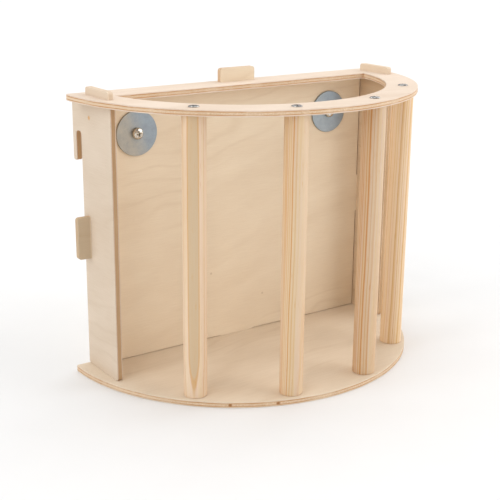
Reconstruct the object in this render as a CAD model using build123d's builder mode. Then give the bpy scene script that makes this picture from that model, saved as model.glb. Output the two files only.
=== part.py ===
from build123d import *
import os
from math import cos, radians, sin

# Half-round plywood hay rack with dowel bars, made to hang on the wire wall of a pet cage.
# Millimetres, +Z up. The origin is the middle of the base plate's footprint, on its underside.
# The flat back of the rack faces +Y, and its bars stand on a half circle towards -Y.

# Driving dimensions: the two half-round plates
PLATE_WIDTH = 250.0
PLATE_DEPTH = 130.0
RACK_HEIGHT = 188.0  # underside of the base plate to the top face of the ring
PLY = 4.0
PLATE_CORNER = 1.5
EASED_EDGE = 0.3
RIM_WIDTH = 21.3  # ring, round its curved side
BACK_BAR = 22.0  # ring, along its straight side

# Dowel bars
DOWEL_DIAMETER = 15.0
DOWEL_INSET = 10.0  # dowel axis to the plates' curved edge
DOWEL_ANGLES = (223.8, 254.6, 285.4, 316.2)
DOWEL_END_EASE = 0.4

# Back panel and side panels, as distances in front of the plates' straight back edge
BACK_PANEL_SETBACK = 5.0
SIDE_PANEL_DEPTH = 40.0
SIDE_PANEL_OUTER_X = 115.0
PANEL_CORNER = 2.0
BACK_PANEL_GAP = 0.4  # daylight under the back panel
BACK_PANEL_END_GAP = 0.7  # and between its ends and the side panels

# Tabs and the slots that they pass through
TAB_LENGTH = 28.0
TAB_CORNER = 2.0
TAB_FIT = 0.1  # clearance on every side of a tab
BACK_TAB_RISE = 9.4  # above the ring
SIDE_TAB_REACH = 9.2  # past the side panel's outer face
SIDE_TAB_MIDDLE_Z = 94.5
PANEL_TAB_LENGTH = 30.0
PANEL_TAB_SETBACK = 7.5
PANEL_TAB_RISE = 5.0
FOOT_TAB_INSET = 0.2  # the lower tabs stop just inside the underside

# Hooks on the side panels
HOOK_REACH = 12.0  # behind the plates' straight back edge
HOOK_SLOT_WIDTH = 7.5
HOOK_SLOT_TOP_Z = 163.0
HOOK_BOTTOM_Z = 143.0
HOOK_SLOT_CORNER = 2.5
HOOK_CORNER = 1.8

# Clamp hardware: M4 bolts, wide washers and wing nuts
BOLT_X = 80.0
BOLT_Z = 160.0
BOLT_RADIUS = 2.0
BOLT_LENGTH = 25.0
BOLT_TIP = 0.5
BOLT_HEAD_RADIUS = 4.1
BOLT_HEAD_HEIGHT = 3.0
BOLT_HEAD_ROUND = 1.6
BOLT_HOLE_RADIUS = 2.25
WASHER_RADIUS = 15.0
WASHER_THICKNESS = 1.2
WASHER_EASE = 0.25
NUT_BORE_RADIUS = 2.05
NUT_HUB_RADIUS = 4.0
NUT_HUB_TOP_RADIUS = 3.5
NUT_HUB_HEIGHT = 5.0
NUT_HEIGHT = 10.4
NUT_EAR = [  # one ear's outline: across the nut, along its axis, corner radius
    (3.5, 0.8, 0), (10.0, 5.4, 2.4), (10.0, NUT_HEIGHT, 2.4), (5.2, NUT_HEIGHT, 1.6),
    (2.9, 4.4, 0.9),
]
NUT_EAR_THICKNESS = 2.0
NUT_EAR_EASE = 0.7
NUT_TILTS = {"left": 24.0, "right": -41.0}  # how the wings happen to stand when tight
RECESS_TURNS = {"left": 12.0, "right": 35.0}

# Countersunk wood screws through the plates into the ends of the dowels
SCREW_HEAD_RADIUS = 3.4
SCREW_RIM = 0.3
SCREW_SHANK_RADIUS = 1.6
SCREW_CORE_RADIUS = 1.2
SCREW_THREAD_RADIUS = 1.75
SCREW_PITCH = 1.4
SCREW_LENGTH = 25.0
SCREW_POINT = 3.0
SCREW_HOLE_RADIUS = 1.9
PILOT_RADIUS = 1.25
PILOT_DEPTH = 23.0
TOP_HEAD_PROUD = 1.0
FOOT_HEAD_SUNK = 0.3
TOP_SCREW_TURNS = (20.0, 68.0, 35.0, 81.0)
FOOT_SCREW_TURNS = (5.0, 50.0, 74.0, 31.0)
RECESS_LENGTH = 4.2
RECESS_WIDTH = 0.95
RECESS_DEPTH = 1.5
RECESS_TAPER = 12.0

# Places worked out from the dimensions above
BACK = PLATE_DEPTH / 2
ARC_RADIUS = PLATE_WIDTH / 2
ARC_Y = ARC_RADIUS - PLATE_DEPTH / 2
RING_Z = RACK_HEIGHT - PLY
SIDE_PANEL_INNER_X = SIDE_PANEL_OUTER_X - PLY
PANEL_BACK_Y = BACK - BACK_PANEL_SETBACK
PANEL_FRONT_Y = PANEL_BACK_Y - PLY
PANEL_TAB_Y = BACK - PANEL_TAB_SETBACK - PANEL_TAB_LENGTH / 2
SIDES = {"left": -1, "right": 1}


def dowel_centres():
    """The dowels' axes in plan, from left to right."""
    reach = ARC_RADIUS - DOWEL_INSET
    return [(reach * cos(radians(a)), ARC_Y + reach * sin(radians(a))) for a in DOWEL_ANGLES]


def save(builder, name):
    """Label a finished piece and write its STEP file."""
    builder.part.label = name
    export_step(builder.part, f"parts/{name}.step")


def plate_outline():
    """Half circle with short straight flanks and a straight back with rounded corners."""
    with BuildSketch() as outline:
        with BuildLine():
            Polyline(
                (-ARC_RADIUS, ARC_Y), (-ARC_RADIUS, BACK), (ARC_RADIUS, BACK), (ARC_RADIUS, ARC_Y)
            )
            CenterArc((0, ARC_Y), ARC_RADIUS, 180, 180)
        make_face()
        fillet(outline.vertices().group_by(Axis.Y)[-1], PLATE_CORNER)
    return outline.sketch


def tab_slots():
    """Slots for the upright tabs of the two side panels and of the back panel."""
    width = PLY + 2 * TAB_FIT
    side_x = SIDE_PANEL_OUTER_X - PLY / 2
    with BuildSketch() as slots:
        with Locations((-side_x, PANEL_TAB_Y), (side_x, PANEL_TAB_Y)):
            Rectangle(width, PANEL_TAB_LENGTH + 2 * TAB_FIT)
        with Locations((0, PANEL_BACK_Y - PLY / 2)):
            Rectangle(TAB_LENGTH + 2 * TAB_FIT, width)
    return slots.sketch


def make_bottom_plate():
    """Half-round floor of the rack, with slots for the panels' lower tabs."""
    outline, slots = plate_outline(), tab_slots()
    with BuildPart() as bottom_plate:
        with BuildSketch(Plane.XY):
            add(outline)
        extrude(amount=PLY)
        fillet(bottom_plate.edges().filter_by(Axis.Z, reverse=True), EASED_EDGE)
        with BuildSketch(Plane.XY):
            add(slots)
        extrude(amount=PLY, mode=Mode.SUBTRACT)
        sink_radius = SCREW_HEAD_RADIUS + FOOT_HEAD_SUNK + SCREW_RIM + TAB_FIT
        with Locations(Plane.XY.rotated((180, 0, 0))):
            with Locations([(x, -y) for x, y in dowel_centres()]):
                CounterSinkHole(SCREW_HOLE_RADIUS, sink_radius, counter_sink_angle=90)
    save(bottom_plate, "bottom_plate")


def make_top_ring():
    """The same outline with a half-round mouth, through which the hay is put in."""
    outline, slots = plate_outline(), tab_slots()
    mouth_edge = BACK - BACK_BAR
    sink_radius = SCREW_HEAD_RADIUS + SCREW_RIM - TOP_HEAD_PROUD + TAB_FIT
    with BuildPart() as top_ring:
        with BuildSketch(Plane.XY.offset(RING_Z)):
            add(outline)
        extrude(amount=PLY)
        with BuildSketch(Plane.XY.offset(RING_Z)):
            with Locations((0, ARC_Y)):
                Circle(ARC_RADIUS - RIM_WIDTH)
            with Locations((0, mouth_edge)):
                below = (Align.CENTER, Align.MAX)
                Rectangle(PLATE_WIDTH, PLATE_DEPTH, align=below, mode=Mode.INTERSECT)
        extrude(amount=PLY, mode=Mode.SUBTRACT)
        fillet(top_ring.edges().filter_by(Axis.Z, reverse=True), EASED_EDGE)
        with BuildSketch(Plane.XY.offset(RING_Z)):
            add(slots)
        extrude(amount=PLY, mode=Mode.SUBTRACT)
        with Locations(Plane.XY.offset(RACK_HEIGHT)):
            with Locations(dowel_centres()):
                CounterSinkHole(SCREW_HOLE_RADIUS, sink_radius, counter_sink_angle=90)
    save(top_ring, "top_ring")


def make_back_panel():
    """Upright sheet with a tab through the ring, one through each side panel and one below."""
    half = SIDE_PANEL_INNER_X - BACK_PANEL_END_GAP
    foot = PLY + BACK_PANEL_GAP
    tab = TAB_LENGTH / 2
    reach = SIDE_PANEL_OUTER_X + SIDE_TAB_REACH
    low, high = SIDE_TAB_MIDDLE_Z - tab, SIDE_TAB_MIDDLE_Z + tab
    right_half = [
        (tab, FOOT_TAB_INSET, 0), (tab, foot, 0), (half, foot, 0), (half, low, 0),
        (reach, low, TAB_CORNER), (reach, high, TAB_CORNER), (half, high, 0),
        (half, RING_Z, 0), (tab, RING_Z, 0), (tab, RACK_HEIGHT + BACK_TAB_RISE, TAB_CORNER),
    ]
    outline = right_half + [(-x, z, r) for x, z, r in reversed(right_half)]
    with BuildPart() as back_panel:
        with BuildSketch(Plane.XZ.offset(-PANEL_BACK_Y)):
            with BuildLine():
                FilletPolyline(
                    [(x, z) for x, z, r in outline], radius=[r for x, z, r in outline], close=True
                )
            make_face()
        extrude(amount=PLY)
        fillet(back_panel.edges().filter_by(Axis.Y, reverse=True), EASED_EDGE)
        with Locations(Plane.XZ.offset(-PANEL_FRONT_Y)):
            with Locations((-BOLT_X, BOLT_Z), (BOLT_X, BOLT_Z)):
                Hole(BOLT_HOLE_RADIUS)
    save(back_panel, "back_panel")


def make_side_panel(name, side):
    """Upright sheet with tabs above and below, a hook behind, and a slot for the back panel."""
    front = BACK - SIDE_PANEL_DEPTH
    tab_front = PANEL_TAB_Y - PANEL_TAB_LENGTH / 2
    tab_back = PANEL_TAB_Y + PANEL_TAB_LENGTH / 2
    tab_top = RACK_HEIGHT + PANEL_TAB_RISE
    outline = [
        (front, PLY, PANEL_CORNER), (tab_front, PLY, 0), (tab_front, FOOT_TAB_INSET, 0),
        (tab_back, FOOT_TAB_INSET, 0), (tab_back, PLY, 0), (BACK, PLY, PANEL_CORNER),
        (BACK, HOOK_SLOT_TOP_Z, HOOK_SLOT_CORNER),
        (BACK + HOOK_SLOT_WIDTH, HOOK_SLOT_TOP_Z, HOOK_SLOT_CORNER),
        (BACK + HOOK_SLOT_WIDTH, HOOK_BOTTOM_Z, HOOK_CORNER),
        (BACK + HOOK_REACH, HOOK_BOTTOM_Z, HOOK_CORNER), (BACK + HOOK_REACH, RING_Z, HOOK_CORNER),
        (tab_back, RING_Z, 0), (tab_back, tab_top, TAB_CORNER),
        (tab_front, tab_top, TAB_CORNER), (tab_front, RING_Z, 0), (front, RING_Z, PANEL_CORNER),
    ]
    start = SIDE_PANEL_INNER_X if side > 0 else -SIDE_PANEL_OUTER_X
    with BuildPart() as side_panel:
        with BuildSketch(Plane.YZ.offset(start)):
            with BuildLine():
                FilletPolyline(
                    [(y, z) for y, z, r in outline], radius=[r for y, z, r in outline], close=True
                )
            make_face()
        extrude(amount=PLY)
        fillet(side_panel.edges().filter_by(Axis.X, reverse=True), EASED_EDGE)
        with BuildSketch(Plane.YZ.offset(start)):
            with Locations((PANEL_BACK_Y - PLY / 2, SIDE_TAB_MIDDLE_Z)):
                Rectangle(PLY + 2 * TAB_FIT, TAB_LENGTH + 2 * TAB_FIT)
        extrude(amount=PLY, mode=Mode.SUBTRACT)
    save(side_panel, name)


def make_dowel(name, centre):
    """Plain round bar between the plates, with a pilot bore for the screw at each end."""
    with BuildPart() as dowel:
        with BuildSketch(Plane.XY.offset(PLY)):
            with Locations(centre):
                Circle(DOWEL_DIAMETER / 2)
        extrude(amount=RING_Z - PLY)
        chamfer(dowel.edges().filter_by(GeomType.CIRCLE), DOWEL_END_EASE)
        with BuildSketch(Plane.XY.offset(PLY), Plane.XY.offset(RING_Z - PILOT_DEPTH)):
            with Locations(centre):
                Circle(PILOT_RADIUS)
        extrude(amount=PILOT_DEPTH, mode=Mode.SUBTRACT)
    save(dowel, name)


def axial_plane(origin, outward):
    """Plane whose first axis runs across a turned piece and whose second runs out of its head."""
    across = Vector(1, 0, 0)
    return Plane(origin=origin, x_dir=across, z_dir=across.cross(Vector(*outward)))


def cross(head_top, outward, turn):
    """Cross for a screwdriver, on the top of a screw's or bolt's head."""
    face = Plane(origin=head_top, x_dir=(1, 0, 0), z_dir=outward)
    with BuildSketch(face.rotated((0, 0, turn))) as recess:
        Rectangle(RECESS_LENGTH, RECESS_WIDTH)
        Rectangle(RECESS_WIDTH, RECESS_LENGTH)
    return recess.sketch


def make_wood_screw(name, head_top, outward, turn):
    """Countersunk screw: a cone under a flat head, a plain neck, then thread down to a point."""
    cone_end = -SCREW_RIM - (SCREW_HEAD_RADIUS - SCREW_SHANK_RADIUS)
    thread_start = -PLY - TOP_HEAD_PROUD
    ridges = int((SCREW_LENGTH - SCREW_POINT + thread_start) / SCREW_PITCH)
    profile = [
        (0, 0), (SCREW_HEAD_RADIUS, 0), (SCREW_HEAD_RADIUS, -SCREW_RIM),
        (SCREW_SHANK_RADIUS, cone_end), (SCREW_SHANK_RADIUS, thread_start),
    ]
    for ridge in range(ridges):
        valley = thread_start - ridge * SCREW_PITCH - SCREW_PITCH / 4
        profile.append((SCREW_CORE_RADIUS, valley))
        profile.append((SCREW_THREAD_RADIUS, valley - SCREW_PITCH / 2))
    profile.append((SCREW_CORE_RADIUS, SCREW_POINT - SCREW_LENGTH))
    profile.append((0, -SCREW_LENGTH))
    recess = cross(head_top, outward, turn)
    with BuildPart() as screw:
        with BuildSketch(axial_plane(head_top, outward)):
            with BuildLine():
                Polyline(profile, close=True)
            make_face()
        revolve(axis=Axis(head_top, outward))
        extrude(recess, amount=-RECESS_DEPTH, taper=RECESS_TAPER, mode=Mode.SUBTRACT)
    save(screw, name)


def make_clamp_bolt(name, x, turn):
    """M4 pan-head bolt through the front washer and the back panel, its tip behind the rack."""
    outward = (0, -1, 0)
    seat = (x, PANEL_FRONT_Y - WASHER_THICKNESS, BOLT_Z)
    head_top = (x, seat[1] - BOLT_HEAD_HEIGHT, BOLT_Z)
    recess = cross(head_top, outward, turn)
    with BuildPart() as bolt:
        with BuildSketch(axial_plane(seat, outward)):
            with BuildLine():
                outline = [
                    (0, BOLT_HEAD_HEIGHT, 0), (0, -BOLT_LENGTH, 0),
                    (BOLT_RADIUS - BOLT_TIP, -BOLT_LENGTH, 0),
                    (BOLT_RADIUS, BOLT_TIP - BOLT_LENGTH, 0), (BOLT_RADIUS, 0, 0),
                    (BOLT_HEAD_RADIUS, 0, 0), (BOLT_HEAD_RADIUS, BOLT_HEAD_HEIGHT, BOLT_HEAD_ROUND),
                ]
                FilletPolyline(
                    [(u, h) for u, h, r in outline], radius=[r for u, h, r in outline], close=True
                )
            make_face()
        revolve(axis=Axis(seat, outward))
        extrude(recess, amount=-RECESS_DEPTH, taper=RECESS_TAPER, mode=Mode.SUBTRACT)
    save(bolt, name)


def make_washer(name, x, front_y):
    """Wide flat washer with eased rims, its front face at front_y."""
    with BuildPart() as washer:
        with BuildSketch(Plane.XZ.offset(-front_y)):
            with Locations((x, BOLT_Z)):
                Circle(WASHER_RADIUS)
                Circle(BOLT_HOLE_RADIUS, mode=Mode.SUBTRACT)
        extrude(amount=-WASHER_THICKNESS)
        fillet(washer.edges().filter_by(GeomType.CIRCLE).group_by(SortBy.RADIUS)[-1], WASHER_EASE)
    save(washer, name)


def make_wing_nut(name, x, tilt):
    """Wing nut: a tapered hub on the thread and two rounded ears that lean outwards."""
    seat = (x, PANEL_BACK_Y + WASHER_THICKNESS, BOLT_Z)
    outward = Vector(0, 1, 0)
    across = Vector(cos(radians(tilt)), 0, sin(radians(tilt)))
    ear_plane = Plane(origin=seat, x_dir=across, z_dir=across.cross(outward))
    with BuildPart() as nut:
        with BuildSketch(ear_plane):
            with BuildLine():
                ears = NUT_EAR + [(-u, h, r) for u, h, r in reversed(NUT_EAR)]
                FilletPolyline([(u, h) for u, h, r in ears], radius=[r for u, h, r in ears], close=True)
            make_face()
        extrude(amount=NUT_EAR_THICKNESS / 2, both=True)
        fillet(nut.faces().filter_by(ear_plane).edges(), NUT_EAR_EASE)
        with BuildSketch(ear_plane):
            with BuildLine():
                Polyline(
                    (0, 0), (NUT_HUB_RADIUS, 0), (NUT_HUB_TOP_RADIUS, NUT_HUB_HEIGHT),
                    (0, NUT_HUB_HEIGHT), close=True,
                )
            make_face()
        revolve(axis=Axis(seat, outward))
        with BuildSketch(Plane(origin=seat, x_dir=across, z_dir=outward)):
            Circle(NUT_BORE_RADIUS)
        extrude(amount=NUT_HEIGHT, mode=Mode.SUBTRACT)
    save(nut, name)


def main():
    os.makedirs("parts", exist_ok=True)
    make_bottom_plate()
    make_top_ring()
    make_back_panel()
    for number, centre in enumerate(dowel_centres(), start=1):
        make_dowel(f"dowel_{number}", centre)
        top = (*centre, RACK_HEIGHT + TOP_HEAD_PROUD)
        make_wood_screw(f"top_screw_{number}", top, (0, 0, 1), TOP_SCREW_TURNS[number - 1])
        foot = (*centre, FOOT_HEAD_SUNK)
        make_wood_screw(f"foot_screw_{number}", foot, (0, 0, -1), FOOT_SCREW_TURNS[number - 1])
    for name, side in SIDES.items():
        make_side_panel(f"{name}_side_panel", side)
        make_clamp_bolt(f"{name}_clamp_bolt", side * BOLT_X, RECESS_TURNS[name])
        make_washer(f"{name}_front_washer", side * BOLT_X, PANEL_FRONT_Y - WASHER_THICKNESS)
        make_washer(f"{name}_rear_washer", side * BOLT_X, PANEL_BACK_Y)
        make_wing_nut(f"{name}_wing_nut", side * BOLT_X, NUT_TILTS[name])


main()
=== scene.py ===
"""Looks of a half-round plywood hay rack with dowel bars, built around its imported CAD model."""
import math
import bmesh
import bpy
from mathutils import Matrix, Vector


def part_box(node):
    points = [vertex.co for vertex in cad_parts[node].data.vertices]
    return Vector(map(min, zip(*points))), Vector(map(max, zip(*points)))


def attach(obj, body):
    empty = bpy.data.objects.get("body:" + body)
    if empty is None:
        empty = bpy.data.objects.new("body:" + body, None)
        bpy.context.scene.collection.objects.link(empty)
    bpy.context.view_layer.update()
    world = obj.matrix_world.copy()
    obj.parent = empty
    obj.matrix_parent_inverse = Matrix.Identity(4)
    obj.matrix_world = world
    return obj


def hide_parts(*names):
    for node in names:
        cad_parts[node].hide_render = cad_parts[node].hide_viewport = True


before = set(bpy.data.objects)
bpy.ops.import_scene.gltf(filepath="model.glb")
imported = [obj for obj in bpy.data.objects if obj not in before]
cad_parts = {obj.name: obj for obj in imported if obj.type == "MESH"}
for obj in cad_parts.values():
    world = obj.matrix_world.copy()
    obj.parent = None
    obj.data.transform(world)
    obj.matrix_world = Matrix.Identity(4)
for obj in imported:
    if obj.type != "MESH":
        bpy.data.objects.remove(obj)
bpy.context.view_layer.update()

MM = 0.001
SIDES = ("left", "right")


# ---------------------------------------------------------------- colours and node graphs

def srgb(red, green, blue):
    """Linear colour of 8-bit display values."""
    def linear(value):
        share = value / 255
        return share / 12.92 if share <= 0.04045 else ((share + 0.055) / 1.055) ** 2.4
    return (linear(red), linear(green), linear(blue), 1.0)


class Graph:
    """Node tree of one material, with short calls that give back output sockets."""

    def __init__(self, name):
        self.material = bpy.data.materials.new(name)
        self.material.use_nodes = True
        self.tree = self.material.node_tree
        self.tree.nodes.clear()

    def feed(self, socket, value):
        if isinstance(value, bpy.types.NodeSocket):
            self.tree.links.new(value, socket)
        else:
            socket.default_value = value

    def node(self, kind, inputs=None, **settings):
        made = self.tree.nodes.new("ShaderNode" + kind)
        for name, value in settings.items():
            setattr(made, name, value)
        for name, value in (inputs or {}).items():
            self.feed(made.inputs[name], value)
        return made

    def math(self, operation, *values, clamp=False):
        made = self.node("Math", operation=operation, use_clamp=clamp)
        for socket, value in zip(made.inputs, values):
            self.feed(socket, value)
        return made.outputs[0]

    def add(self, *values):
        total = values[0]
        for value in values[1:]:
            total = self.math("ADD", total, value)
        return total

    def times(self, a, b):
        return self.math("MULTIPLY", a, b)

    def clamped(self, value, offset=0.0):
        """The value plus an offset, held between 0 and 1."""
        return self.math("ADD", value, offset, clamp=True)

    def vector(self, x, y, z):
        return self.node("CombineXYZ", {"X": x, "Y": y, "Z": z}).outputs[0]

    def scaled(self, point, scale):
        """A point for a noise, its scale in cycles to the millimetre."""
        return self.vector(*[self.times(part, scale) for part in point])

    def point(self):
        """The surface point's coordinates in the row frame, in millimetres."""
        place = self.node("TexCoord").outputs["Object"]
        scaled = self.node("VectorMath", {0: place, 1: (1000, 1000, 1000)}, operation="MULTIPLY")
        return self.node("SeparateXYZ", {0: scaled.outputs[0]}).outputs

    def facing(self):
        """How far the surface faces along each axis, whichever way, from 0 to 1."""
        normal = self.node("TexCoord").outputs["Normal"]
        parts = self.node("SeparateXYZ", {0: normal}).outputs
        return [self.math("ABSOLUTE", part) for part in parts]

    def noise(self, vector, detail, rough=0.5):
        inputs = {"Vector": vector, "Scale": 1.0, "Detail": detail, "Roughness": rough}
        return self.node("TexNoise", inputs).outputs[0]

    def band(self, value, low, high, out_low=0.0, out_high=1.0):
        """Smooth step from out_low to out_high while value goes from low to high."""
        inputs = {"Value": value, "From Min": low, "From Max": high,
                  "To Min": out_low, "To Max": out_high}
        return self.node("MapRange", inputs, interpolation_type="SMOOTHSTEP").outputs[0]

    def mix(self, share, a, b):
        """Colour that goes from a to b as share goes from 0 to 1."""
        made = self.node("Mix", data_type="RGBA")
        self.feed(made.inputs[0], share)
        self.feed(made.inputs[6], a)
        self.feed(made.inputs[7], b)
        return made.outputs[2]

    def finish(self, colour, roughness, height, depth, specular, metallic=0.0):
        """Close the tree with a shader. height is 0 to 1, depth its size in millimetres."""
        bump = self.node("Bump", {"Height": height, "Strength": 1.0, "Distance": depth * MM})
        shader = self.node("BsdfPrincipled", {
            "Base Color": colour, "Roughness": roughness, "Metallic": metallic,
            "Specular IOR Level": specular, "Normal": bump.outputs[0],
        })
        output = self.node("OutputMaterial")
        self.tree.links.new(shader.outputs[0], output.inputs[0])
        return self.material


def dress(piece, material):
    """Give every slot of a piece one material."""
    if not piece.material_slots:
        piece.data.materials.append(material)
    for slot in piece.material_slots:
        slot.material = material


# ---------------------------------------------------------------- plywood

# Millimetres
PLY = 4.0
VENEER = 1.0  # thickness of a face veneer
GLUE = 0.55  # how far a glue line's stain reaches into the wood
KNOT_SIZE, FLECK_SIZE, VOID_SIZE = 1.9, 1.2, 1.7
KNOT_Y = 53.5  # pin knot on the left side panel
KNOT_DROP = 19.5  # and how far it is below the top of the panel's tab
FLECK_PLACES = [(-22.0, 53.0), (23.0, 30.0)]  # x and z on the back panel
VOID_PLACES = [(-71.7, -42.4), (-44.8, -56.7)]  # x and y on the plate's edge
TAB_AND_RING = 9.0  # height of a side panel's upper tab, from the ring's underside
UPPER_TAB_LIGHT_BLEND = 2.0  # over which the painted light on a side panel's upper tab comes in
SIDE_TAB_SHADE_BLEND = 1.0  # and the painted shade on the back panel's tab past the left panel

GLUE_TONE = srgb(190, 134, 82)
KNOT_TONE, KNOT_SHARE = srgb(214, 158, 84), 0.8
FLECK_TONE, FLECK_SHARE = srgb(176, 144, 108), 0.4
# Painted shade: a core void on the plate's edge is a dark spot in the colour, with no hollow in
# the mesh.
VOID_SHADE_TONE = srgb(158, 110, 66)
PALE_CORE = {"core_pale": srgb(238, 214, 184), "core_dark": srgb(200, 167, 131)}
BROWN_CORE = {"core_pale": srgb(206, 174, 136), "core_dark": srgb(164, 127, 88)}


def veneer_tone(g, along, across, depth, seed, slant, figure):
    """Tone of a birch veneer, about 0 for its palest wood and 1 for its darkest streak."""
    sway = g.noise(g.vector(g.times(along, 0.011), g.times(across, 0.022), seed), detail=2)
    bent = g.add(across, g.times(along, slant), g.times(sway, 46.0))
    clouds = g.noise(g.vector(g.times(along, 0.016), g.times(bent, 0.05), seed + 3.1), detail=3)
    rings = g.math("PINGPONG", g.add(g.times(bent, 0.085), seed), 0.5)
    lines = g.band(rings, 0.30, 0.5)
    shown = g.noise(g.vector(g.times(along, 0.013), g.times(bent, 0.018), seed + 7.7), detail=1)
    lines = g.times(lines, g.band(shown, 0.44, 0.66))
    fibre_point = g.vector(g.times(along, 0.07), g.times(across, 1.6), g.times(depth, 1.6))
    fibre = g.noise(fibre_point, detail=3, rough=0.65)
    dash_point = g.vector(g.times(along, 0.45), g.times(across, 4.5), g.times(depth, 4.5))
    dashes = g.band(g.noise(dash_point, detail=1), 0.60, 0.74)
    tone = g.add(
        g.times(g.add(clouds, -0.5), 0.7),
        g.times(lines, 0.20 * figure),
        g.times(g.add(fibre, -0.5), 0.5),
        g.times(dashes, 0.16),
        0.36,
    )
    return tone, fibre, dashes


def near(g, place, spot, size):
    """1 at a spot in the row frame and 0 from size away, both in millimetres."""
    gap = g.node("VectorMath", {0: g.vector(*place), 1: spot}, operation="DISTANCE")
    return g.band(gap.outputs["Value"], size, 0.35 * size)


def plywood(name, thick, grain, start, pale, dark, core_pale, core_dark,
            seed=0.0, slant=0.0, figure=1.0, knots=(), flecks=(), voids=(), painted_light_patches=()):
    """Three-ply birch sheet. thick and grain are axis numbers; start is the sheet's low face.

    Each patch of painted light and shade is (axis, start, full, share, tone): along the axis from
    start to full, the sheet's colour comes to be mixed with that share of the tone, paler for
    painted light and darker for painted shade.
    """
    g = Graph(name)
    place, facing = g.point(), g.facing()
    cross = 3 - thick - grain
    along, across = place[grain], place[cross]
    depth = g.math("SUBTRACT", place[thick], start)
    tone, fibre, dashes = veneer_tone(g, along, across, depth, seed, slant, figure)
    face_end = g.band(facing[grain], 0.35, 0.8)
    core_end = g.band(facing[cross], 0.35, 0.8)
    edge = g.band(facing[thick], 0.85, 0.5)

    specks = g.noise(g.scaled(place, 1.7), detail=3, rough=0.7)
    tone = g.add(tone, g.times(face_end, g.times(g.add(specks, -0.42), 1.2)))
    face = g.mix(g.clamped(tone), pale, dark)
    for spot in knots:
        face = g.mix(g.times(near(g, place, spot, KNOT_SIZE), KNOT_SHARE), face, KNOT_TONE)
    for spot in flecks:
        face = g.mix(g.times(near(g, place, spot, FLECK_SIZE), FLECK_SHARE), face, FLECK_TONE)

    core_tone, _, _ = veneer_tone(g, across, along, depth, seed + 11.0, 0.0, 0.4)
    rough_end = g.times(core_end, g.times(g.add(specks, -0.45), 2.6))
    core = g.mix(g.clamped(g.add(core_tone, rough_end)), core_pale, core_dark)
    # Painted shade of the voids' hollows.
    for spot in voids:
        core = g.mix(near(g, place, spot, VOID_SIZE), core, VOID_SHADE_TONE)

    wander = g.noise(g.vector(g.times(along, 0.05), g.times(across, 0.05), seed + 2.0), detail=2)
    shifted = g.add(depth, g.times(g.add(wander, -0.5), 0.6))
    inside = g.math("SUBTRACT", PLY / 2 - VENEER,
                    g.math("ABSOLUTE", g.math("SUBTRACT", shifted, PLY / 2)))
    in_core = g.band(inside, -0.06, 0.06)
    glue = g.band(g.math("ABSOLUTE", inside), GLUE, 0.0)
    stain_and_reflection = g.noise(g.vector(g.times(place[0], 0.09), g.times(place[1], 0.09), seed), detail=2)
    glue_shown = g.times(glue, g.band(stain_and_reflection, 0.35, 0.6, 0.5, 1.0))
    colour = g.mix(in_core, face, core)
    colour = g.mix(g.times(glue_shown, edge), colour, GLUE_TONE)
    # Painted light and shade: a patch mixes in a paler tone where the sheet stands in more light
    # and a darker one where it stands in shade.
    for axis, patch_start, patch_full, share, painted_tone in painted_light_patches:
        colour = g.mix(g.band(place[axis], patch_start, patch_full, 0.0, share), colour, painted_tone)

    height = g.add(
        g.times(fibre, 0.5), g.times(dashes, -0.35),
        g.times(edge, g.times(specks, 1.1)), g.times(g.times(edge, glue), -0.4),
    )
    roughness = g.math("ADD", 0.56, g.times(fibre, 0.16))
    return g.finish(colour, roughness, height, 0.10, specular=0.3)


def dress_sheets():
    """Plywood on the two plates and the three panels, each with its own grain."""
    x, y, z = range(3)
    panel_low, panel_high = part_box("left_side_panel")
    panel_side, panel_top = panel_low.x / MM, panel_high.z / MM
    face_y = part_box("left_front_washer")[1].y / MM
    knots = [(panel_side, KNOT_Y, panel_top - KNOT_DROP)]
    flecks = [(place_x, face_y, place_z) for place_x, place_z in FLECK_PLACES]
    voids = [(place_x, place_y, PLY / 2) for place_x, place_y in VOID_PLACES]
    # Painted light: the side panels' upper tabs stand up through the ring in the light from above,
    # so they are tinted paler than their sheets.
    tab_start = panel_top - TAB_AND_RING
    tab_full = tab_start + UPPER_TAB_LIGHT_BLEND
    left_painted_tab_light = [(z, tab_start, tab_full, 0.7, srgb(232, 213, 190))]
    right_painted_tab_light = [(z, tab_start, tab_full, 0.85, srgb(233, 213, 189))]
    # Painted shade: where the back panel's tab sticks out past the left panel its front face is in
    # shade, so it is tinted darker than its sheet.
    back_painted_tab_shade = [(x, panel_side, panel_side - SIDE_TAB_SHADE_BLEND, 0.5, srgb(172, 149, 117))]
    sheets = {
        "top_ring": dict(thick=z, grain=x, pale=srgb(238, 221, 204), dark=srgb(212, 187, 162),
                         seed=1.0, slant=0.05),
        "bottom_plate": dict(thick=z, grain=x, pale=srgb(235, 219, 197), dark=srgb(207, 185, 158),
                             seed=2.0, slant=-0.08, voids=voids),
        "back_panel": dict(thick=y, grain=x, pale=srgb(242, 225, 199), dark=srgb(217, 193, 163),
                           seed=3.0, slant=-0.16, flecks=flecks, painted_light_patches=back_painted_tab_shade),
        "left_side_panel": dict(thick=x, grain=y, pale=srgb(225, 209, 190),
                                dark=srgb(200, 177, 151), seed=4.0, slant=0.10, figure=0.7,
                                knots=knots, painted_light_patches=left_painted_tab_light, **BROWN_CORE),
        "right_side_panel": dict(thick=x, grain=y, pale=srgb(222, 199, 170),
                                 dark=srgb(186, 153, 116), seed=5.0, slant=-0.03, figure=0.7,
                                 painted_light_patches=right_painted_tab_light, **BROWN_CORE),
    }
    for node, look in sheets.items():
        low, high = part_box(node)
        start = low[look["thick"]] / MM
        if node == "back_panel":
            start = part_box("left_rear_washer")[0].y / MM - PLY
        if node == "top_ring":
            start = high.z / MM - PLY
        sheet = plywood("birch_" + node, start=start, **{**PALE_CORE, **look})
        dress(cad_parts[node], sheet)


# ---------------------------------------------------------------- pine dowels

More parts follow.
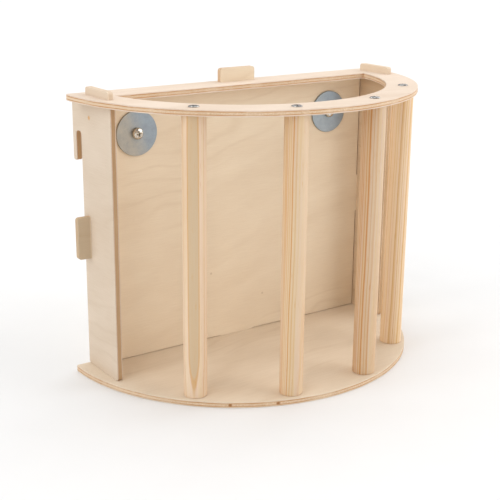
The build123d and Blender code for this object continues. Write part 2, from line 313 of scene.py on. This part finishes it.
HEART_TONE = srgb(208, 184, 152)  # wood inside a flame
BAR_LOOKS = [
    dict(pith=(24.0, 30.0), tilt=(0.0, 0.0), spacing=2.2, strength=0.58, onset=0.78,
         sway=0.5, uneven=0.0, phase=0.505, flame=(4.0, 34.0, 0.85, 44.95),
         pink=(231, 206, 183), wheat=(231, 207, 176), late_tone=(208, 158, 94)),
    dict(pith=(-14.0, 36.0), tilt=(-0.012, 0.008), spacing=1.5, strength=0.95, onset=0.5,
         calm=(0.8, -0.6), pink=(220, 195, 169), wheat=(222, 198, 162)),
    dict(pith=(-6.0, 32.0), tilt=(0.008, 0.005), spacing=1.6, strength=0.95, onset=0.5,
         calm=(0.8, -0.6), pink=(214, 189, 164), wheat=(216, 190, 154),
         late_tone=(198, 138, 76)),
    dict(pith=(34.0, -27.0), tilt=(-0.01, 0.01), spacing=1.9, strength=0.72, onset=0.45,
         pink=(236, 209, 183), wheat=(238, 212, 174), late_tone=(214, 166, 98)),
]


def pine(name, centre, pith, tilt, spacing, seed, strength, onset, pink, wheat,
         late_tone=(206, 150, 86), sway=1.6, uneven=2.2, phase=0.0, flame=None, calm=None):
    """Pine with growth rings round a pith that lies beside the bar, in millimetres.

    onset is the share of a ring at which its late wood starts, and strength is how dark that
    gets. sway bends the rings along the bar, and uneven varies their spacing. calm is the
    direction in which the ring lines fade. flame is (foot, top, rise, limit): between the
    heights foot and top the rings bend in by rise, which closes their lines in a V, and wood
    past the radius limit is duller.
    """
    g = Graph(name)
    place = g.point()
    x = g.math("SUBTRACT", place[0], centre[0])
    y = g.math("SUBTRACT", place[1], centre[1])
    z = place[2]
    sway_x = g.noise(g.vector(g.times(z, 0.013), g.times(x, 0.02), seed), detail=2)
    sway_y = g.noise(g.vector(g.times(z, 0.013), g.times(y, 0.02), seed + 5.0), detail=2)
    off_x = g.add(x, -pith[0], g.times(z, tilt[0]), g.times(sway_x, sway))
    off_y = g.add(y, -pith[1], g.times(z, tilt[1]), g.times(sway_y, sway))
    radius = g.math("SQRT", g.add(g.times(off_x, off_x), g.times(off_y, off_y)))
    if flame:
        foot, top, rise, limit = flame
        radius = g.add(radius, g.band(z, foot, top, -rise, 0.0))
    jitter = g.noise(g.vector(g.times(radius, 0.35), seed, 0.0), detail=1)
    ring = g.add(g.times(radius, 1 / spacing), g.times(jitter, uneven), phase)
    share = g.math("FRACT", ring)
    late = g.times(g.band(share, onset, 0.88), g.band(share, 1.0, 0.93))
    number = g.math("FLOOR", ring)
    each = g.noise(g.vector(g.times(number, 0.73), seed + 1.0, 0.0), detail=0)
    late = g.times(late, g.band(each, 0.30, 0.62, 0.45, 1.0))
    if calm:
        side = g.add(g.times(x, calm[0]), g.times(y, calm[1]))
        late = g.times(late, g.band(side, 3.5, -1.0, 0.2, 1.0))
    fibre_point = g.vector(g.times(x, 3.2), g.times(y, 3.2), g.times(z, 0.05))
    fibre = g.noise(fibre_point, detail=3, rough=0.6)
    cloud = g.noise(g.vector(g.times(x, 0.12), g.times(y, 0.12), g.times(z, 0.01)), detail=1)
    duct_point = g.vector(g.times(x, 2.6), g.times(y, 2.6), g.times(z, 0.16))
    ducts = g.band(g.noise(duct_point, detail=0), 0.72, 0.80)
    streak_point = g.vector(g.times(x, 0.55), g.times(y, 0.55), g.add(g.times(z, 0.006), seed))
    streaks = g.noise(streak_point, detail=2)
    tone = g.add(
        g.times(late, strength), g.times(g.add(fibre, -0.5), 0.45),
        g.times(g.add(cloud, -0.5), 0.5), g.times(ducts, 0.25), 0.12,
    )
    early = g.mix(g.band(streaks, 0.32, 0.68), srgb(*pink), srgb(*wheat))
    if flame:
        early = g.mix(g.band(radius, limit - 0.15, limit + 0.15), early, HEART_TONE)
    colour = g.mix(g.clamped(tone), early, srgb(*late_tone))
    height = g.add(g.times(late, 0.5), g.times(fibre, 0.5), g.times(ducts, -0.3))
    roughness = g.math("ADD", 0.5, g.times(fibre, 0.14))
    return g.finish(colour, roughness, height, 0.04, specular=0.3)


def dress_dowels():
    """Each bar is turned from its own piece of pine."""
    for number, look in enumerate(BAR_LOOKS, start=1):
        low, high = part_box(f"dowel_{number}")
        middle = (low + high) / 2 / MM
        wood = pine(f"pine_dowel_{number}", (middle.x, middle.y), seed=3.7 * number, **look)
        dress(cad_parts[f"dowel_{number}"], wood)


# ---------------------------------------------------------------- metals

# Painted reflection: each washer's left tone is the warm birch of the rack mirrored in the zinc,
# strong on the left washers and faint on the right ones.
WASHER_WOOD_REFLECTIONS = {"left": srgb(190, 183, 168), "right": srgb(166, 175, 180)}
WASHER_CLEAR, WASHER_DARK = srgb(160, 174, 186), srgb(138, 143, 146)
NUT_TONES = srgb(216, 214, 208), srgb(206, 208, 210), srgb(182, 184, 186)
SCRATCH_TONE = srgb(214, 218, 220)
CAST_VOXEL = 0.2  # millimetres


def nickel(name, pale, dark, scale):
    """Bright plate with fine marks, and clouds between pale and dark whose scale is in cycles to
    the mm; where pale and dark lie far apart, as on the screws' nickel, the clouds are painted
    glints and dark reflections.
    """
    g = Graph(name)
    place = g.point()
    fine = g.noise(g.scaled(place, 6.0), detail=3)
    mottle_and_glints = g.noise(g.scaled(place, scale), detail=2)
    colour = g.mix(g.band(mottle_and_glints, 0.35, 0.65), pale, dark)
    roughness = g.math("ADD", 0.14, g.times(fine, 0.16))
    return g.finish(colour, roughness, fine, 0.012, metallic=1.0, specular=0.5)


def zinc(name, centre, left, right, dark):
    """Dull zinc plate: cloudy, with fine rings from the press tool and short scratches. Its pale
    tone goes from left on its left side to right on its right side; on the washers the left tone
    is a painted reflection of the wood.
    """
    g = Graph(name)
    place = g.point()
    x = g.math("SUBTRACT", place[0], centre.x / MM)
    z = g.math("SUBTRACT", place[2], centre.z / MM)
    radius = g.math("SQRT", g.add(g.times(x, x), g.times(z, z)))
    cloud = g.noise(g.vector(g.times(x, 0.16), g.times(z, 0.16), g.times(place[1], 0.2)),
                    detail=4, rough=0.6)
    spots = g.noise(g.vector(g.times(x, 1.6), g.times(z, 1.6), place[1]), detail=2)
    rings = g.noise(g.vector(g.times(radius, 5.0), 0.0, 0.0), detail=1)
    scratch_point = g.vector(g.add(g.times(x, 0.5), g.times(z, 0.2)),
                             g.add(g.times(z, 7.0), g.times(x, -2.8)), 0.0)
    scratches = g.band(g.noise(scratch_point, detail=1), 0.66, 0.74)
    # Painted reflection: towards its left side the plate takes the left tone, which on the washers
    # is the wood mirrored in the zinc.
    stain_and_reflection = g.band(g.add(x, g.times(z, 0.4), g.times(cloud, 14.0)), -1.0, 16.0)
    pale = g.mix(stain_and_reflection, left, right)
    tone = g.add(cloud, g.times(g.add(spots, -0.5), 0.35), g.times(g.add(rings, -0.5), 0.2))
    colour = g.mix(g.clamped(tone, -0.1), pale, dark)
    colour = g.mix(g.times(scratches, 0.25), colour, SCRATCH_TONE)
    roughness = g.add(0.36, g.times(cloud, 0.16), g.times(scratches, -0.1))
    height = g.add(g.times(rings, 0.4), g.times(spots, 0.4), g.times(scratches, -0.6))
    return g.finish(colour, roughness, height, 0.015, metallic=1.0, specular=0.5)


def dress_zinc(node, *tones):
    low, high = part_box(node)
    dress(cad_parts[node], zinc("zinc_" + node, (low + high) / 2, *tones))


def dress_washers_and_nuts():
    """Zinc on both, and on the nuts the softened surface of a casting."""
    for side in SIDES:
        # The washers' left tones are painted reflections of the wood.
        dress_zinc(f"{side}_front_washer", WASHER_WOOD_REFLECTIONS[side], WASHER_CLEAR, WASHER_DARK)
        dress_zinc(f"{side}_rear_washer", WASHER_WOOD_REFLECTIONS[side], WASHER_CLEAR, WASHER_DARK)
        dress_zinc(f"{side}_wing_nut", *NUT_TONES)
        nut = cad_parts[f"{side}_wing_nut"]
        skin = nut.modifiers.new("cast_skin", "REMESH")
        skin.mode = "VOXEL"
        skin.voxel_size = CAST_VOXEL * MM
        skin.use_smooth_shade = True
        soft = nut.modifiers.new("cast_corners", "SMOOTH")
        soft.factor = 0.5
        soft.iterations = 5


# ---------------------------------------------------------------- screws and bolts

# Sizes are in millimetres
TURNS = 48  # vertices round a turned piece
THREAD_STEPS = 8  # rows to one pitch of thread
SHARP_ANGLE = math.radians(32)
RECESS_DEPTH = 1.6
RECESS_ARM = 1.95  # half the length of the cross
RECESS_HALF_WIDTH = 0.5  # and half the width of its arms
RECESS_SCALES = (1.06, 0.45)  # size of the cross at its cutter's top and at its floor
RECESS_CLEAR = 0.3  # how far the cutter stands past the head
SCREW_TURNS = (20, 68, 35, 81)  # degrees
FOOT_TURN = 40  # more for the screw at a bar's other end
BOLT_TURNS = {"left": 12, "right": 35}

# Head profiles from the middle of the top down to the neck: radius and height in millimetres
PAN_HEAD = [(1.2, 2.98), (2.2, 2.86), (3.0, 2.56), (3.6, 2.05), (3.95, 1.35), (4.08, 0.7),
            (4.1, 0.12), (3.98, 0.0), (2.1, 0.0), (2.0, -0.1)]
RAISED_HEAD = [(1.2, -0.03), (2.2, -0.13), (2.9, -0.30), (3.25, -0.48), (3.4, -0.70),
               (3.3, -0.9), (2.7, -1.0), (1.6, -2.1)]
FLAT_HEAD = [(2.2, 0.0), (3.3, 0.0), (3.4, -0.1), (3.4, -0.3), (1.6, -2.1)]
MACHINE_THREAD = dict(start=-0.6, end=-25.0, core=1.66, crest=2.0, pitch=0.7, point=0.6)
WOOD_THREAD = dict(start=-6.0, end=-25.0, core=1.15, crest=1.7, pitch=1.4, point=4.0)


def thread_rows(start, end, core, crest, pitch, point):
    """Height, core radius and ridge height down a thread that narrows over its last part."""
    count = math.ceil((start - end) / pitch * THREAD_STEPS)
    for row in range(count + 1):
        height = start + (end - start) * row / count
        run_in = min(1.0, (start - height) / pitch)
        narrow = min(1.0, max(0.0, height - end) / point)
        yield height, core * (0.2 + 0.8 * narrow), (crest - core) * run_in * narrow


def turned_screw(name, head, thread):
    """Head profile and a real helical thread as one closed surface, its head towards +Z."""
    shape = bmesh.new()
    rings = []
    for radius, height in head:
        rings.append([(radius, height)] * TURNS)
    for height, core, ridge in thread_rows(**thread):
        ring = []
        for step in range(TURNS):
            phase = (height / thread["pitch"] + step / TURNS) % 1.0
            ring.append((core + ridge * (1 - abs(2 * phase - 1)), height))
        rings.append(ring)
    rows = []
    for ring in rings:
        row = []
        for step, (radius, height) in enumerate(ring):
            angle = math.tau * step / TURNS
            spot = Vector((radius * math.cos(angle), radius * math.sin(angle), height))
            row.append(shape.verts.new(spot * MM))
        rows.append(row)
    for upper, lower in zip(rows, rows[1:]):
        for step in range(TURNS):
            after = (step + 1) % TURNS
            shape.faces.new((upper[step], lower[step], lower[after], upper[after]))
    shape.faces.new(rows[0])
    shape.faces.new(reversed(rows[-1]))
    bmesh.ops.recalc_face_normals(shape, faces=shape.faces)
    mesh = bpy.data.meshes.new(name)
    shape.to_mesh(mesh)
    shape.free()
    piece = bpy.data.objects.new(name, mesh)
    bpy.context.scene.collection.objects.link(piece)
    return piece


def cross_cutter(head_top):
    """Tapered cross that cuts the recess for a screwdriver."""
    shape = bmesh.new()
    arm, half = RECESS_ARM, RECESS_HALF_WIDTH
    corner = [(arm, -half), (arm, half), (half, half)]
    outline = []
    for quarter in range(4):
        turn = Matrix.Rotation(math.radians(90 * quarter), 2)
        outline += [turn @ Vector(point) for point in corner]
    rows = []
    for scale, height in zip(RECESS_SCALES, (head_top + RECESS_CLEAR, head_top - RECESS_DEPTH)):
        rows.append([shape.verts.new(Vector((*(p * scale), height)) * MM) for p in outline])
    top, bottom = rows
    for step in range(len(outline)):
        after = (step + 1) % len(outline)
        shape.faces.new((top[step], bottom[step], bottom[after], top[after]))
    caps = [shape.faces.new(top), shape.faces.new(bottom)]
    bmesh.ops.triangulate(shape, faces=caps)
    bmesh.ops.recalc_face_normals(shape, faces=shape.faces)
    mesh = bpy.data.meshes.new("cross_cutter")
    shape.to_mesh(mesh)
    shape.free()
    cutter = bpy.data.objects.new("cross_cutter", mesh)
    bpy.context.scene.collection.objects.link(cutter)
    return cutter


def cut_cross(piece, head_top):
    """Cut the recess into a piece for good, and shade it smooth up to its sharp edges."""
    cutter = cross_cutter(head_top)
    recess = piece.modifiers.new("recess", "BOOLEAN")
    recess.operation = "DIFFERENCE"
    recess.object = cutter
    bpy.context.view_layer.update()
    solid = piece.evaluated_get(bpy.context.evaluated_depsgraph_get())
    mesh = bpy.data.meshes.new_from_object(solid)
    piece.modifiers.clear()
    piece.data = mesh
    bpy.data.objects.remove(cutter)
    shape = bmesh.new()
    shape.from_mesh(mesh)
    for face in shape.faces:
        face.smooth = True
    for edge in shape.edges:
        edge.smooth = edge.calc_face_angle(0.0) < SHARP_ANGLE
    shape.to_mesh(mesh)
    shape.free()


def place_screw(pattern, node, spot, outward, turn, plate):
    """A copy of a pattern screw stands for a CAD screw, with its own turn."""
    piece = bpy.data.objects.new("turned_" + node, pattern.data.copy())
    bpy.context.scene.collection.objects.link(piece)
    facing = Vector(outward).to_track_quat("Z", "Y").to_matrix().to_4x4()
    spin = Matrix.Rotation(math.radians(turn), 4, "Z")
    piece.matrix_world = Matrix.Translation(spot) @ facing @ spin
    dress(piece, plate)
    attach(piece, "rack")
    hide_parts(node)


def make_screws():
    """Wood screws in the dowels' ends and the two clamp bolts, with threads and cross recesses."""
    bright = nickel("bright_nickel", srgb(226, 220, 206), srgb(196, 190, 180), 0.7)
    # Painted glints and dark reflections: the top and foot screws' nickel is mixed from near-white
    # and dark-grey clouds.
    glint_painted_nickel = nickel("nickel_painted_glints", srgb(222, 221, 218), srgb(104, 102, 100), 1.6)
    top_screw = turned_screw("top_screw", RAISED_HEAD, WOOD_THREAD)
    cut_cross(top_screw, 0.0)
    foot_screw = turned_screw("foot_screw", FLAT_HEAD, WOOD_THREAD)
    cut_cross(foot_screw, 0.0)
    clamp_bolt = turned_screw("clamp_bolt", PAN_HEAD, MACHINE_THREAD)
    cut_cross(clamp_bolt, PAN_HEAD[0][1])
    for number, turn in enumerate(SCREW_TURNS, start=1):
        low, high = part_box(f"top_screw_{number}")
        middle = (low + high) / 2
        top = Vector((middle.x, middle.y, high.z))
        place_screw(top_screw, f"top_screw_{number}", top, (0, 0, 1), turn, glint_painted_nickel)
        foot = Vector((middle.x, middle.y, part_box(f"foot_screw_{number}")[0].z))
        turn += FOOT_TURN
        place_screw(foot_screw, f"foot_screw_{number}", foot, (0, 0, -1), turn, glint_painted_nickel)
    for side, turn in BOLT_TURNS.items():
        low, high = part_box(f"{side}_clamp_bolt")
        middle = (low + high) / 2
        seat = Vector((middle.x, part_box(f"{side}_front_washer")[0].y, middle.z))
        place_screw(clamp_bolt, f"{side}_clamp_bolt", seat, (0, -1, 0), turn, bright)
    for pattern in (top_screw, foot_screw, clamp_bolt):
        bpy.data.objects.remove(pattern)


# ---------------------------------------------------------------- floor, light and camera

CAMERA_PLACE = Vector((-0.4164, -0.5521, 0.2909))
CAMERA_YAW = 35.14  # degrees to the right of straight at the bars
CAMERA_PITCH = 16.9  # degrees down
CAMERA_ROLL = 0.53
CAMERA_LENS = 77.19
SENSOR_WIDTH = 36
FLOOR_RADIUS = 14.0
FLOOR_TONES = (0.86, 0.86, 0.86, 1), (0.83, 0.83, 0.83, 1)
WORLD_STRENGTH = 0.32
# Azimuth, elevation, spread and strength. Azimuth 0 comes from in front of the bars, 90 from
# the right.
SUNS = {
    "key_light": (50, 20, 50, 1.65),
    "left_light": (-80, 34, 60, 1.5),
    "right_light": (100, 35, 60, 1.0),
    "back_light": (180, 60, 60, 1.1),
}


def make_camera():
    data = bpy.data.cameras.new("camera")
    data.lens = CAMERA_LENS
    data.sensor_width = SENSOR_WIDTH
    camera = bpy.data.objects.new("camera", data)
    bpy.context.scene.collection.objects.link(camera)
    turn = (Matrix.Rotation(-math.radians(CAMERA_YAW), 4, "Z")
            @ Matrix.Rotation(math.radians(90 - CAMERA_PITCH), 4, "X")
            @ Matrix.Rotation(math.radians(CAMERA_ROLL), 4, "Z"))
    camera.matrix_world = Matrix.Translation(CAMERA_PLACE) @ turn
    bpy.context.scene.camera = camera


def make_floor():
    mesh = bpy.data.meshes.new("floor")
    shape = bmesh.new()
    bmesh.ops.create_circle(shape, cap_ends=True, segments=96, radius=FLOOR_RADIUS)
    shape.to_mesh(mesh)
    shape.free()
    floor = bpy.data.objects.new("floor", mesh)
    bpy.context.scene.collection.objects.link(floor)
    g = Graph("pale_floor")
    place = g.point()
    grit = g.noise(g.vector(g.times(place[0], 0.02), g.times(place[1], 0.02), 0.0), detail=3)
    colour = g.mix(grit, *FLOOR_TONES)
    dress(floor, g.finish(colour, 0.8, grit, 0.01, specular=0.2))


def make_sun(name, azimuth, elevation, spread, strength):
    """Soft distant light."""
    data = bpy.data.lights.new(name, "SUN")
    data.angle = math.radians(spread)
    data.energy = strength
    light = bpy.data.objects.new(name, data)
    bpy.context.scene.collection.objects.link(light)
    a, e = math.radians(azimuth), math.radians(elevation)
    source = Vector((math.sin(a) * math.cos(e), -math.cos(a) * math.cos(e), math.sin(e)))
    light.matrix_world = source.to_track_quat("Z", "Y").to_matrix().to_4x4()


def make_lights():
    world = bpy.data.worlds.new("studio")
    world.use_nodes = True
    background = world.node_tree.nodes["Background"]
    background.inputs["Color"].default_value = (1, 1, 1, 1)
    background.inputs["Strength"].default_value = WORLD_STRENGTH
    bpy.context.scene.world = world
    for name, sun in SUNS.items():
        make_sun(name, *sun)
    bpy.context.scene.view_settings.view_transform = "Standard"


dress_sheets()
dress_dowels()
dress_washers_and_nuts()
make_screws()
make_camera()
make_floor()
make_lights()
